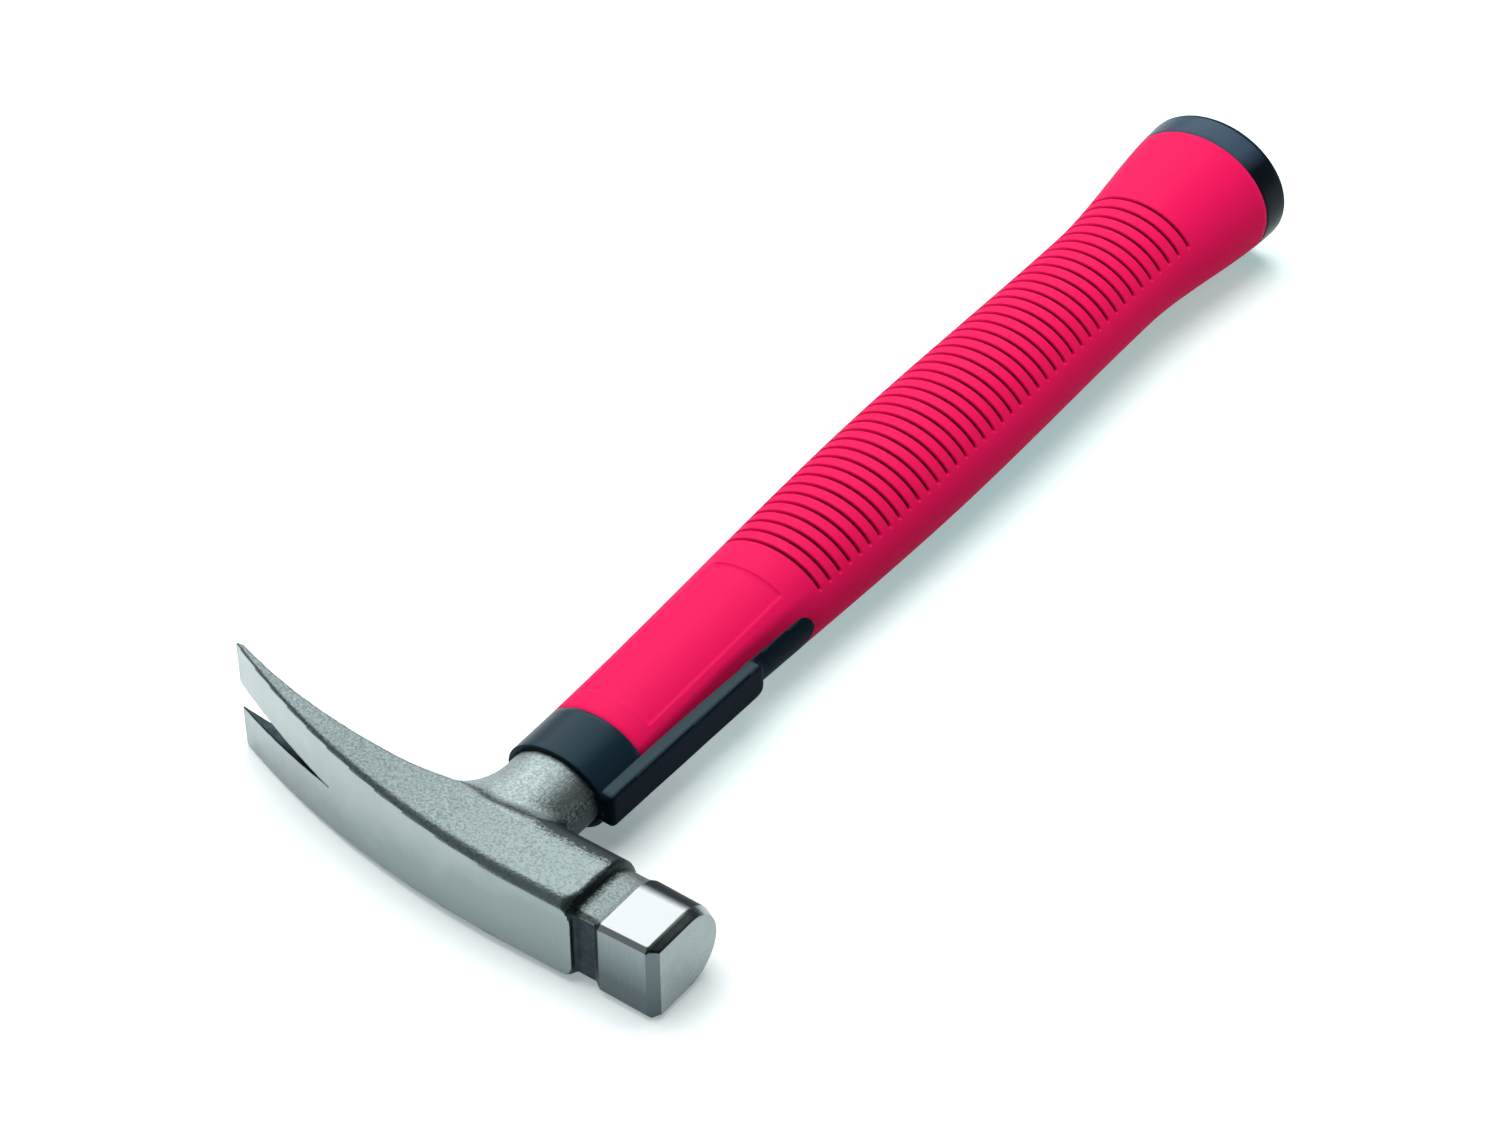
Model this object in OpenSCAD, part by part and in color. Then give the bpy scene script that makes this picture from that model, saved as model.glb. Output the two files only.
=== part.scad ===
// Electrician's hammer: a forged head with a straight claw on an oval handle in two colours.
// It lies on its side: claw towards -X, striking face towards +X, handle along +Y, +Z up.
// Each piece is drawn about the handle axis, with y = 0 where the grip meets the collar.

/* [Head] */
// Reach of the claw tips from the handle axis
claw_reach = 72.5; // [64:0.5:84]
// Reach of the striking face from the handle axis
face_reach = 52; // [48:0.5:60]
// Distance from the grip joint to the crown, the outer side of the head
crown_drop = 49.2; // [46:0.2:56]
// Radius of the crown's curve
crown_r = 235; // [200:5:300]
// Reach at which the crown turns straight towards the face
crown_flat = 18; // [12:1:24]
// Width of the crown at the body
crown_w = 18.6; // [17:0.2:22]
// Width of the crown at the claw tips
claw_w = 29.4; // [26:0.2:34]
// How late the crown widens along the claw, 1 for an even spread
claw_spread = 1.4; // [1:0.1:2.5]
// Thickness of the claw behind the bevel at its tips
tip_t = 2; // [1:0.1:3]
// Thickness of the cutting edge at the claw tips
tip_edge = 0.3; // [0.2:0.1:0.8]
// Rise of the bevel behind the cutting edge, as a share of its length
tip_bevel = 0.6; // [0.5:0.05:1]
// Thickness of the claw at its root
root_t = 13.6; // [11:0.2:15]
// How late the claw thickens towards its root, 1 for an even wedge
claw_swell = 1.25; // [1:0.05:1.6]
// Chamfer between crown and cheek at the body
edge_c = 1.8; // [0.8:0.1:2.4]
// Chamfer between crown and cheek at the claw tips
tip_c = 0.3; // [0.2:0.1:1]
// Distance from the grip joint to the body's side that faces the handle
body_drop = 25.5; // [22:0.5:28]
// Height of the rounding on that side of the body
body_round = 10.5; // [8:0.5:13]
// Height of the rounding along the inner edge of the claw
claw_round = 1.4; // [0.5:0.1:2]

/* [Nail slot] */
// Width of the nail slot at the claw tips
slot_w = 7.4; // [6:0.2:10]
// Length of the nail slot
slot_l = 33; // [26:0.5:40]

/* [Striking block] */
// Width of the block across its cheeks at the face
block_w = 20; // [18:0.2:22]
// Height of the block from its flat outer side to its round side
block_h = 22; // [20:0.1:24]
// Length of the block
block_l = 14.1; // [10:0.1:18]
// How much each cheek of the block leans out towards the face
block_lean = 0.4; // [0:0.1:1]
// Setback of the block's outer side from the crown
block_setback = 0.3; // [0:0.1:1]
// Chamfer along the block's long edges
block_c = 1.1; // [0.6:0.1:1.6]
// Height of the face's chamfer on the outer and the round side
face_c = 2.1; // [1:0.1:2.6]
// Height of the face's chamfer on the cheeks
cheek_c = 1.1; // [0.6:0.1:1.6]
// Length of the face's chamfer
face_run = 2.4; // [1:0.1:3]
// Length of the throat between crown and block
throat_l = 7; // [5:0.1:8]
// Length of each ramp down into the throat
throat_ramp = 1.8; // [1:0.1:2.2]
// How far short of the crown the raised cheeks end
pad_short = 0.9; // [0.5:0.1:4]
// Depth of the throat under the block
throat_d = 1.1; // [0.6:0.1:2]

/* [Neck] */
// Width of the neck in the plane of the head
neck_w = 22.6; // [21:0.2:24]
// Thickness of the neck
neck_t = 16.8; // [16:0.2:18]
// Fillet between neck and claw
claw_fillet = 17.5; // [8:0.5:20]
// Fillet between neck and body on the face side
face_fillet = 4.5; // [2:0.5:6]
// Fillet between the neck and the cheeks
cheek_fillet = 3; // [1:0.5:4]
// Length of the neck that the collar covers
neck_lap = 4; // [2:0.5:6]
// Depth of the socket in the neck
socket_l = 30; // [20:1:32]

/* [Handle] */
// Length of the grip between collar and butt cap
grip_l = 240; // [210:5:270]
// Length of the collar
collar_l = 14.2; // [10:0.2:18]
// Length of the butt cap
cap_l = 9; // [7:0.5:14]
// Width of the handle at the collar
collar_w = 25.9; // [25.6:0.1:30]
// Thickness of the handle at the collar
collar_t = 19.3; // [18.8:0.1:24]
// Width of the grip at its belly
belly_w = 33.4; // [28:0.1:38]
// Thickness of the grip at its belly
belly_t = 26.8; // [22:0.1:32]
// Width of the grip at its waist
waist_w = 31.1; // [26:0.1:36]
// Thickness of the grip at its waist
waist_t = 26.3; // [22:0.1:32]
// Width of the handle at the butt
butt_w = 39.5; // [33:0.1:44]
// Thickness of the handle at the butt
butt_t = 34.6; // [31:0.1:40]
// Distance of the belly from the grip joint
belly_y = 122; // [100:1:140]
// Distance at which the flare to the butt starts
flare_y = 197; // [180:1:205]
// Rounding of the collar's front edge
collar_round = 0.3; // [0.3:0.1:1.2]
// Rounding of the butt cap's rear edge
cap_round = 2; // [1:0.1:3]

/* [Grooves] */
// Distance of the first groove from the grip joint
groove_y = 63.1; // [50:0.1:80]
// Distance of the last groove from the butt cap, at least
groove_clear = 27; // [20:1:60]
// Distance from the first groove to the second
groove_pitch = 3.635; // [2.6:0.005:4]
// How much that distance grows from groove to groove
groove_growth = 0.005; // [0:0.001:0.02]
// Width of a groove
groove_w = 1.1; // [0.6:0.1:2]
// Depth of a groove
groove_d = 1.1; // [0.2:0.1:1.2]
// Angle round the oval at which each groove starts and ends
groove_from = 32; // [15:1:60]

/* [Inside of the handle] */
// Diameter of the glass-fibre core
core_d = 11; // [9:0.2:12]
// Distance from the end of the core to the end of the grip
core_gap = 4; // [2:0.5:10]
// Thickness of the resin between core and socket
resin_t = 0.5; // [0.3:0.1:0.8]
// Thickness of the red grip over the jacket
grip_t = 2.4; // [1.6:0.1:2.8]
// Wall of the butt cap round the jacket's spigot
cap_wall = 4; // [3:0.1:6]
// Length of the jacket's spigot in the butt cap
spigot_l = 5; // [3:0.5:6]
// Clearance round pieces that are pushed together
fit = 0.1; // [0.05:0.05:0.2]

/* [Overstrike guard] */
// Width of the guard rail
guard_w = 8.8; // [8:0.2:12]
// Length of the guard rail past the grip joint
guard_l = 39.8; // [30:0.1:48]
// How far the rail stands out of the handle at the collar
guard_front = 1.7; // [0.5:0.1:2.4]
// How far the rail stands out of the handle at its rear end
guard_rear = 1.5; // [0.8:0.1:3]
// Radius of the rail's rear end, seen from above
guard_r = 2.5; // [2:0.5:6]
// Radius of the rail's rear corners, seen from its outer side
guard_end_r = 3.8; // [2:0.1:4]
// Depth of the guard's seat under the surface of collar and grip
guard_seat = 1; // [0.6:0.1:1.2]
// Width of the tongue behind the rail
tongue_w = 9; // [6:0.2:10]
// Length of the tongue behind the rail
tongue_l = 18.2; // [12:0.1:26]

/* [Hidden] */
$fn = 64;

// Points in a ring round the handle or the neck, and steps along curved stretches
ring_n = 32;
claw_steps = 20;
fillet_steps = 6;
grip_steps = 16;
round_step = 15;
// Rise of the groove's floor at its ends, as a share of the half thickness
groove_fade = 0.15;
// More grooves than ever fit on the grip
groove_most = 100;
// Extra length that lets a cut run clear of what it cuts
over = 1;

// Places along X
block_start = face_reach - block_l;
crown_end = block_start - throat_l;
pad_end = crown_end - pad_short;
root_x = neck_w / 2;
bevel_end = (tip_t - tip_edge) / tip_bevel - claw_reach;
// Places along Y
butt_end = grip_l + cap_l;
cap_rim = butt_end - cap_round;
neck_end = -(collar_l - neck_lap);
socket_floor = neck_end - socket_l;
socket_d = core_d + 2 * resin_t;
core_end = grip_l - core_gap;
tongue_end = guard_l + tongue_l;
// Shift that puts the hammer's middle over the origin and its lowest point on the ground
axis_h = max(half_size(cap_rim).y, claw_w / 2 + tip_c);
shift = [(claw_reach - face_reach) / 2, (crown_drop - butt_end) / 2, axis_h];

function mix(a, b, t) = a + (b - a) * t;
function clamp01(t) = min(1, max(0, t));
function ease(t) = let (u = clamp01(t)) u * u * (3 - 2 * u);

// Half width and half thickness of the handle at a distance y from the grip joint
function half_size(y) = let (
    front = mix([collar_w, collar_t], [belly_w, belly_t], ease((y + collar_l) / (belly_y + collar_l))),
    middle = mix(front, [waist_w, waist_t], ease((y - belly_y) / (flare_y - belly_y)))
) mix(middle, [butt_w, butt_t], ease((y - flare_y) / (butt_end - flare_y))) / 2;

// Share of the full groove depth at an angle round the oval
function groove_share(a) = ease((abs(sin(a)) - sin(groove_from)) / groove_fade);

// Oval ring across the handle, drawn in by an inset and by a groove
function oval(y, inset = 0, groove = 0) = let (h = half_size(y)) [
    for (i = [0:ring_n - 1]) let (a = 360 * i / ring_n, in = inset + groove * groove_share(a))
        [(h.x - in) * cos(a), y, (h.y - in) * sin(a)]
];

// Heights of the rings along the grip
grip_rings = [for (i = [0:grip_steps]) grip_l * i / grip_steps];
// Grooves, as many as fit between the first one and the clear stretch at the butt
function groove_place(i) = groove_y + i * groove_pitch + i * (i - 1) / 2 * groove_growth;
grooves = [for (i = [0:groove_most]) if (groove_place(i) <= grip_l - groove_clear) groove_place(i)];
groove_end = grooves[len(grooves) - 1] + groove_w;

// Closed skin over rings that all have the same number of points
module skin(rings) {
    n = len(rings[0]);
    last = len(rings) - 1;
    sides = [
        for (i = [0:last - 1]) for (j = [0:n - 1]) let (k = (j + 1) % n, a = i * n, b = a + n)
            each [[a + j, a + k, b + k], [a + j, b + k, b + j]]
    ];
    ends = [[for (j = [n - 1:-1:0]) j], [for (j = [0:n - 1]) last * n + j]];
    polyhedron([for (ring = rings) each ring], concat(sides, ends), convexity = 8);
}

// Bar of round section along the handle axis
module bar(d, from, to) {
    translate([0, from, 0]) rotate([-90, 0, 0]) cylinder(d = d, h = to - from);
}

// Share of the way from the crown's straight stretch to the claw tips
function claw_share(x) = clamp01((crown_flat - x) / (crown_flat + claw_reach));

function crown_y(x) = let (dx = max(0, crown_flat - x))
    crown_r - sqrt(crown_r * crown_r - dx * dx) - crown_drop;
function crown_half(x) = mix(crown_w, claw_w, pow(claw_share(x), claw_spread)) / 2;
function crown_edge(x) = min(mix(edge_c, tip_c, claw_share(x)), claw_t(x) / 3);

// Thickness of the claw, a wedge that is ground to a bevel at its tips
function claw_t(x) = let (u = clamp01((x + claw_reach) / (claw_reach - root_x)))
    min(mix(tip_t, root_t, pow(u, claw_swell)), tip_edge + tip_bevel * (x + claw_reach));
function claw_y(x) = crown_y(x) + claw_t(x);

// The side towards the handle: the inside of the claw, then the body's own side
function body_share(x) = clamp01((x + root_x) / (2 * root_x));
function side_y(x) = mix(claw_y(x), -body_drop, body_share(x));
function side_round(x) = mix(min(claw_round, claw_t(x) / 3), body_round, body_share(x));

// A section of the head: outer side, side towards the handle, height of the rounding there,
// half width of the outer side and its chamfer; an inset takes d off each side and c off each cheek
function body_section(x) = [crown_y(x), side_y(x), side_round(x), crown_half(x), crown_edge(x)];
function block_section(half) = let (outer = block_setback - crown_drop)
    [outer, outer + block_h, half, half - block_c, block_c];
function shoulder_section(x) = let (s = body_section(x), sink = crown_edge(x) - tip_c)
    [s[0], s[1] - sink, s[2], s[3] - tip_c, 2 * tip_c];
function inset_section(s, d, c) = [s[0] + d, s[1] - d, s[2] - d, s[3] - c / 2, s[4] - c / 2];

// Ring of points round a section that stands at x
function section_ring(x, s) = let (
    cheek = s[3] + s[4],
    half = [
        [s[0], s[3]],
        [s[0] + s[4], cheek],
        for (a = [0:round_step:90 - round_step]) [s[1] - s[2] + s[2] * sin(a), cheek * cos(a)],
    ],
    n = len(half)
) [
    for (p = half) [x, p.x, p.y],
    [x, s[1], 0],
    for (i = [n - 1:-1:0]) [x, half[i].x, -half[i].y],
];

// Head from the claw tips to the striking face, without neck and slot
module head_bar() {
    throat = inset_section(block_section(block_w / 2 - block_lean), throat_d, throat_d);
    block = block_section(block_w / 2);
    skin([
        section_ring(-claw_reach, body_section(-claw_reach)),
        for (i = [0:claw_steps]) let (x = mix(bevel_end, pad_end, i / claw_steps))
            section_ring(x, body_section(x)),
        section_ring(crown_end, shoulder_section(crown_end)),
        section_ring(crown_end + throat_ramp, throat),
        section_ring(block_start - throat_ramp, throat),
        section_ring(block_start, block_section(block_w / 2 - block_lean)),
        section_ring(face_reach - face_run, block),
        section_ring(face_reach, inset_section(block, face_c, cheek_c)),
    ]);
}

// How far a fillet of radius r that starts at the level base stands out at y
function flare(y, base, r) = let (h = clamp01((base + r - y) / r)) r - r * sqrt(1 - h * h);

// Oval ring across the neck, wider on each side where its fillet runs out
function neck_ring(y, gap = 0) = let (
    to_claw = neck_w / 2 + gap + flare(y, claw_y(-root_x - claw_fillet), claw_fillet),
    to_face = neck_w / 2 + gap + flare(y, -body_drop, face_fillet),
    to_cheek = neck_t / 2 + gap + flare(y, -body_drop - body_round / 2, cheek_fillet)
) [
    for (i = [0:ring_n - 1]) let (a = 360 * i / ring_n)
        [(cos(a) > 0 ? to_face : to_claw) * cos(a), y, to_cheek * sin(a)]
];

module neck() {
    foot = claw_y(-root_x - claw_fillet);
    skin([
        for (i = [0:fillet_steps]) neck_ring(mix(foot, -body_drop, i / fillet_steps)),
        for (i = [1:fillet_steps]) neck_ring(mix(-body_drop, face_fillet - body_drop, i / fillet_steps)),
        neck_ring(neck_end),
    ]);
}

// Wedge that splits the claw for pulling nails
module nail_slot() {
    mouth = slot_w / 2 * (1 + over / slot_l);
    rotate([-90, 0, 0]) linear_extrude(2 * crown_drop, center = true) polygon([
        [-claw_reach - over, mouth],
        [-claw_reach - over, -mouth],
        [slot_l - claw_reach, 0],
    ]);
}

module hammer_head() {
    color("silver") difference() {
        union() {
            head_bar();
            neck();
        }
        nail_slot();
        bar(socket_d, socket_floor, neck_end + over);
    }
}

module handle_core() {
    color("wheat") bar(core_d, socket_floor + resin_t, core_end);
}

module bonding_resin() {
    color("khaki") difference() {
        bar(socket_d, socket_floor, neck_end);
        bar(core_d, socket_floor + resin_t, neck_end + over);
    }
}

// Guard rail seen from above: flat front, straight outer side, round rear end
module rail_outline(gap) {
    front = half_size(-collar_l).x + guard_front;
    rear = half_size(guard_l).x + guard_rear;
    polygon([
        [0, -collar_l - gap],
        [front + gap, -collar_l - gap],
        for (a = [0:round_step:90]) [
            rear - guard_r + (guard_r + gap) * cos(a),
            guard_l - guard_r + (guard_r + gap) * sin(a),
        ],
        [0, guard_l + gap],
    ]);
}

// Guard rail seen from its outer side, with rounded rear corners
module rail_side(gap) {
    half = guard_w / 2;
    corner_y = guard_l - guard_end_r;
    r = guard_end_r + gap;
    polygon([
        [-half - gap, -collar_l - over],
        [half + gap, -collar_l - over],
        for (a = [0:round_step:90]) [half - guard_end_r + r * cos(a), corner_y + r * sin(a)],
        for (a = [90:round_step:180]) [guard_end_r - half + r * cos(a), corner_y + r * sin(a)],
    ]);
}

module guard_rail(gap = 0) {
    intersection() {
        linear_extrude(guard_w + over, center = true) rail_outline(gap);
        rotate([0, 90, 0]) linear_extrude(belly_w) rail_side(gap);
    }
}

// Tongue behind the rail, round at its end, reaching from the handle axis outwards
module guard_tongue(gap = 0) {
    half = tongue_w / 2 + gap;
    start_y = guard_l - max(guard_r, guard_end_r);
    round_y = tongue_end - tongue_w / 2;
    rotate([0, 90, 0]) linear_extrude(belly_w / 2) {
        translate([-half, start_y]) square([2 * half, round_y - start_y]);
        translate([0, round_y]) circle(half);
    }
}

// Handle without collar and cap, drawn in all over by an inset
module handle_skin(inset = 0) {
    skin([oval(-collar_l - over, inset), for (y = grip_rings) oval(y, inset)]);
}

module overstrike_guard() {
    color("dimgray") difference() {
        union() {
            guard_rail();
            intersection() {
                guard_tongue();
                handle_skin();
            }
        }
        handle_skin(guard_seat);
    }
}

// Recess in collar and grip that takes the guard
module guard_recess() {
    difference() {
        union() {
            guard_rail(fit);
            guard_tongue(fit);
        }
        handle_skin(guard_seat + fit);
    }
}

module handle_jacket() {
    color("dimgray") difference() {
        skin([
            oval(-collar_l, collar_round),
            oval(collar_round - collar_l),
            oval(0),
            for (y = grip_rings) oval(y, grip_t),
            oval(grip_l, cap_wall),
            oval(grip_l + spigot_l, cap_wall),
        ]);
        bar(core_d, neck_end - over, core_end);
        skin([neck_ring(-collar_l - over, fit), neck_ring(neck_end, fit)]);
        guard_recess();
    }
}

// Outside of the grip with its grooves
module grooved_skin() {
    skin([
        for (y = grip_rings) if (y < groove_y - groove_w) oval(y),
        for (y = grooves)
            each [oval(y - groove_w / 2), oval(y, 0, groove_d), oval(y + groove_w / 2)],
        for (y = grip_rings) if (y > groove_end) oval(y),
    ]);
}

module grip_sleeve() {
    color("crimson") difference() {
        grooved_skin();
        skin([
            oval(-over, grip_t),
            for (y = grip_rings) oval(y, grip_t),
            oval(grip_l + over, grip_t),
        ]);
        guard_recess();
    }
}

module butt_cap() {
    color("dimgray") difference() {
        skin([
            oval(grip_l),
            oval((grip_l + cap_rim) / 2),
            oval(cap_rim),
            oval(butt_end - cap_round / 2, cap_round / 4),
            oval(butt_end, cap_round),
        ]);
        skin([
            oval(grip_l - over, cap_wall - fit),
            oval(grip_l, cap_wall - fit),
            oval(grip_l + spigot_l + fit, cap_wall - fit),
        ]);
    }
}

translate(shift) hammer_head();
translate(shift) handle_core();
translate(shift) bonding_resin();
translate(shift) handle_jacket();
translate(shift) overstrike_guard();
translate(shift) grip_sleeve();
translate(shift) butt_cap();
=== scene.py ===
# Electrician's hammer lying on its side on a pale studio floor.
import math

import bpy
import numpy as np
from mathutils import Matrix, Vector


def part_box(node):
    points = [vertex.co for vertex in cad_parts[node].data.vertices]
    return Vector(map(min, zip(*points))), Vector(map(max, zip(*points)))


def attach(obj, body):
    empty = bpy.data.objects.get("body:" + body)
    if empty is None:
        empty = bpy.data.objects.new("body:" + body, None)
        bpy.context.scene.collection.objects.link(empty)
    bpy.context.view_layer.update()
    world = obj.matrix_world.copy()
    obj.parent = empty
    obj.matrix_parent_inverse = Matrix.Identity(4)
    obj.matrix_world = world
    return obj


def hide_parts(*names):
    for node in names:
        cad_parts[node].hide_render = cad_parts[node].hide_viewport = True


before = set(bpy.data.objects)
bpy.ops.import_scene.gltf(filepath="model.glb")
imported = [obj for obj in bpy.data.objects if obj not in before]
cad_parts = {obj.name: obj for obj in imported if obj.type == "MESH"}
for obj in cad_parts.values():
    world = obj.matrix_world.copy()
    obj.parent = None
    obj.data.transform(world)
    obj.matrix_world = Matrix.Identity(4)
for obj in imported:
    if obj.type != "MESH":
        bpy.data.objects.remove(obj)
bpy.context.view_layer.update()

MM = 0.001

# Sizes in millimetres. Each piece is drawn about the handle axis, with y = 0 where the grip
# meets the collar, the claw towards -X, the striking face towards +X and +Z up.

# Head
CLAW_REACH = 72.5
FACE_REACH = 52.0
CROWN_DROP = 49.2
CROWN_R = 235.0
# Share of that radius up to which the crown follows its arc
ARC_MOST = 0.9
CROWN_FLAT = 18.0
CROWN_W = 18.6
CLAW_W = 29.4
CLAW_SPREAD = 1.4
TIP_T = 2.0
ROOT_T = 13.6
CLAW_SWELL = 1.25
EDGE_C = 1.8
TIP_C = 0.3
# Thickness of the claw's cutting edge, and how fast the bevel behind it rises at slot and cheek
TIP_EDGE = 0.3
SLOT_BEVEL = 0.22
CHEEK_BEVEL = 0.6
BODY_DROP = 26.2
# Edge of the flat pad on each cheek, the step down behind it, and the start of the rounded side
PAD_DROP = 35.3
PAD_STEP = 0.15
SIDE_DROP = 34.0
SIDE_ROUND = 1.2
CLAW_ROUND = 1.4
CHEEK_ROUND = 0.5
SLOT_W = 7.4
SLOT_L = 33.0
# Length of the rounded band between crown and cheek, as a multiple of its height
BAND_STRETCH = 1.6
# Half width of the inner side's ellipse, as a multiple of the cheek's half width, and the share of it
# up to which the side follows it
SIDE_SPREAD = 1.02
SIDE_MOST = 0.98
# Roundings of the crown's and the slot's edges
CROWN_ROUND = 0.25
SLOT_ROUND = 0.15

# Striking block and throat
BLOCK_W = 20.0
BLOCK_H = 22.0
BLOCK_L = 14.1
BLOCK_LEAN = 0.4
# How much the block's round side falls towards the face
BACK_FALL = 0.8
BLOCK_SETBACK = 0.3
BLOCK_C = 1.1
FACE_C = 2.1
# Length and height of the face's steeper chamfer along cheeks and round side
CHEEK_RUN = 2.4
CHEEK_C = 1.1
THROAT_L = 7.0
THROAT_RAMP = 1.8
THROAT_D = 1.1
# Depth of the throat at the cheeks, as a share of its full depth
THROAT_CHEEK = 0.5
# Rounding of the throat's long edges, and fillet between throat and body
THROAT_ROUND = 0.2
THROAT_FILLET = 0.8
# Lean of the wall between cheek and throat, and how far it stands over the throat's level
WALL_LEAN = 0.35
WALL_FOOT = 8.7
# Rounding of that wall's edge at the crown and further along the cheek
CROWN_CORNER = 2.4
WALL_ROUND = 0.8
BLOCK_START = FACE_REACH - BLOCK_L
CROWN_END = BLOCK_START - THROAT_L
BLOCK_OUTER = BLOCK_SETBACK - CROWN_DROP

# Neck and socket
NECK_W = 22.6
NECK_T = 16.8
NECK_LAP = 4.0
CLAW_FILLET = 17.5
FACE_FILLET = 4.5
CHEEK_FILLET = 3.0
SOCKET_L = 30.0
SOCKET_D = 12.0
ROOT_X = NECK_W / 2

# Handle
GRIP_L = 240.0
COLLAR_L = 14.2
CAP_L = 9.0
COLLAR = np.array([25.9, 19.3])
BELLY = np.array([33.4, 26.8])
WAIST = np.array([31.1, 26.3])
BUTT = np.array([39.5, 34.6])
BELLY_Y = 122.0
FLARE_Y = 197.0
COLLAR_ROUND = 0.3
CAP_ROUND = 2.0
SEAM_ROUND = 0.12
GRIP_T = 2.4
CORE_D = 11.0
CORE_GAP = 4.0
CAP_WALL = 4.0
SPIGOT_L = 5.0
FIT = 0.1
BUTT_END = GRIP_L + CAP_L
NECK_END = NECK_LAP - COLLAR_L

# Grooves and bare panel of the grip
GROOVE_Y = 63.1
GROOVE_PITCH = 3.635
GROOVE_GROWTH = 0.005
GROOVE_CLEAR = 27.0
GROOVE_W = 1.1
GROOVE_D = 1.1
GROOVE_FROM = math.radians(32)
# More grooves than ever fit on the grip
GROOVE_MOST = 100
PANEL_W = 18.7
PANEL_START = 6.0
PANEL_END = 54.2
PANEL_D = 0.3
PANEL_EDGE = 0.4

# Overstrike guard
GUARD_W = 8.8
GUARD_L = 39.8
GUARD_FRONT = 1.7
GUARD_REAR = 1.5
GUARD_R = 2.5
GUARD_END_R = 3.8
GUARD_SEAT = 1.0
GUARD_ROUND = 0.8
GUARD_NOSE = 1.6
# Depth to which the rail's flanks get a lighter black, painted light as if they were lit from above
GUARD_FLANK = 0.25
TONGUE_W = 9.0
TONGUE_L = 18.2
TONGUE_RISE = 0.12
TONGUE_ROUND = 0.3
TONGUE_FILLET = 0.5
TONGUE_END = GUARD_L + TONGUE_L

# Fineness of the meshes
HEAD_STEP = 0.5
GUARD_STEP = 0.4
NORMAL_STEP = 0.02
RING_N = 256
# Degrees between the rings round an edge, and numbers of rings along plain stretches
ROUND_STEP = 15
COLLAR_RINGS = 12
CAP_RINGS = 8
INNER_RINGS = 25
GRIP_RINGS = 161
# Places of the rings beside the middle of a groove, as multiples of its half width
GROOVE_STOPS = np.array([0.4, 0.75, 0.92, 1, 1.15])
# Passes that bring a crossing of a grid edge onto the surface
CROSSING_PASSES = 3
# Weight that holds a point to the middle of its cell, against the planes that pull it to an edge
CELL_HOLD = 0.02

# The handle axis and the grip joint, found in the frame
core_low, core_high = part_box("handle_core")
grip_low, grip_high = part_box("grip_sleeve")
ORIGIN = np.array([
    (core_low.x + core_high.x) / 2,
    grip_low.y,
    (core_low.z + core_high.z) / 2,
])


def mix(a, b, share):
    return a + (b - a) * share


def clamp01(t):
    return np.clip(t, 0.0, 1.0)


def ease(t):
    u = clamp01(t)
    return u * u * (3 - 2 * u)


def rounded_min(a, b, r):
    """Union of two fields with a fillet of radius r between them."""
    return np.maximum(r, np.minimum(a, b)) - np.hypot(np.maximum(r - a, 0), np.maximum(r - b, 0))


def rounded_max(a, b, r):
    """Intersection of two fields with their shared edge rounded to radius r."""
    return -rounded_min(-a, -b, r)


def oval_field(u, v, half_u, half_v):
    """Distance from an ellipse, exact near its edge."""
    size = np.maximum(np.hypot(u / half_u, v / half_v), 1e-6)
    steep = np.hypot(u / half_u**2, v / half_v**2) / size
    return (size - 1) / np.maximum(steep, 1e-6)


# Meshing of a solid given by a field that is negative inside and positive outside
def field_normals(field, points):
    """Directions in which the field grows."""
    steps = NORMAL_STEP * np.eye(3)
    slopes = np.stack([field(points + s) - field(points - s) for s in steps], axis=-1)
    return slopes / np.maximum(np.linalg.norm(slopes, axis=-1, keepdims=True), 1e-12)


def edge_crossings(field, grid, values, axis):
    """Points where grid edges along an axis cross the surface, with the four cells round each edge."""
    inside = values < 0
    index = np.argwhere(inside != np.roll(inside, -1, axis))
    ahead = index + np.eye(3, dtype=int)[axis]
    start, end = grid[tuple(index.T)], grid[tuple(ahead.T)]
    low, high = values[tuple(index.T)], values[tuple(ahead.T)]
    share = low / (low - high)
    for _ in range(CROSSING_PASSES):
        points = start + share[:, None] * (end - start)
        share = clamp01(share - field(points) / (high - low))
    step_b = np.eye(3, dtype=int)[(axis + 1) % 3]
    step_c = np.eye(3, dtype=int)[(axis + 2) % 3]
    around = np.stack([index, index - step_b, index - step_b - step_c, index - step_c], axis=1)
    around[low > 0] = around[low > 0][:, ::-1]
    cells = np.ravel_multi_index(tuple(np.moveaxis(around, -1, 0)), values.shape)
    return points, cells


def mesh_field(field, grid, step):
    """Points and quads of the field's surface, with one point in each grid cell that it crosses.
    Each point lies where the tangent planes in its cell meet, which keeps edges crisp."""
    values = field(grid)
    found = [edge_crossings(field, grid, values, axis) for axis in range(3)]
    crossings = np.concatenate([points for points, cells in found])
    used, faces = np.unique(np.concatenate([cells for points, cells in found]), return_inverse=True)
    faces = faces.reshape(-1, 4)
    owner = faces.ravel()
    points = np.repeat(crossings, 4, axis=0)
    normals = np.repeat(field_normals(field, crossings), 4, axis=0)

    def gather(weights):
        return np.bincount(owner, weights, len(used))

    count = np.bincount(owner, minlength=len(used))
    centre = np.stack([gather(points[:, i]) for i in range(3)], axis=1) / count[:, None]
    heights = np.einsum("ij,ij->i", normals, points - centre[owner])
    planes = np.stack([[gather(normals[:, i] * normals[:, j]) for j in range(3)] for i in range(3)])
    pull = np.stack([gather(normals[:, i] * heights) for i in range(3)], axis=1)
    hold = CELL_HOLD * count[:, None, None] * np.eye(3)
    offset = np.linalg.solve(np.moveaxis(planes, -1, 0) + hold, pull[..., None])[..., 0]
    length = np.linalg.norm(offset, axis=1, keepdims=True)
    return centre + offset * np.minimum(1, step / np.maximum(length, 1e-9)), faces


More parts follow.
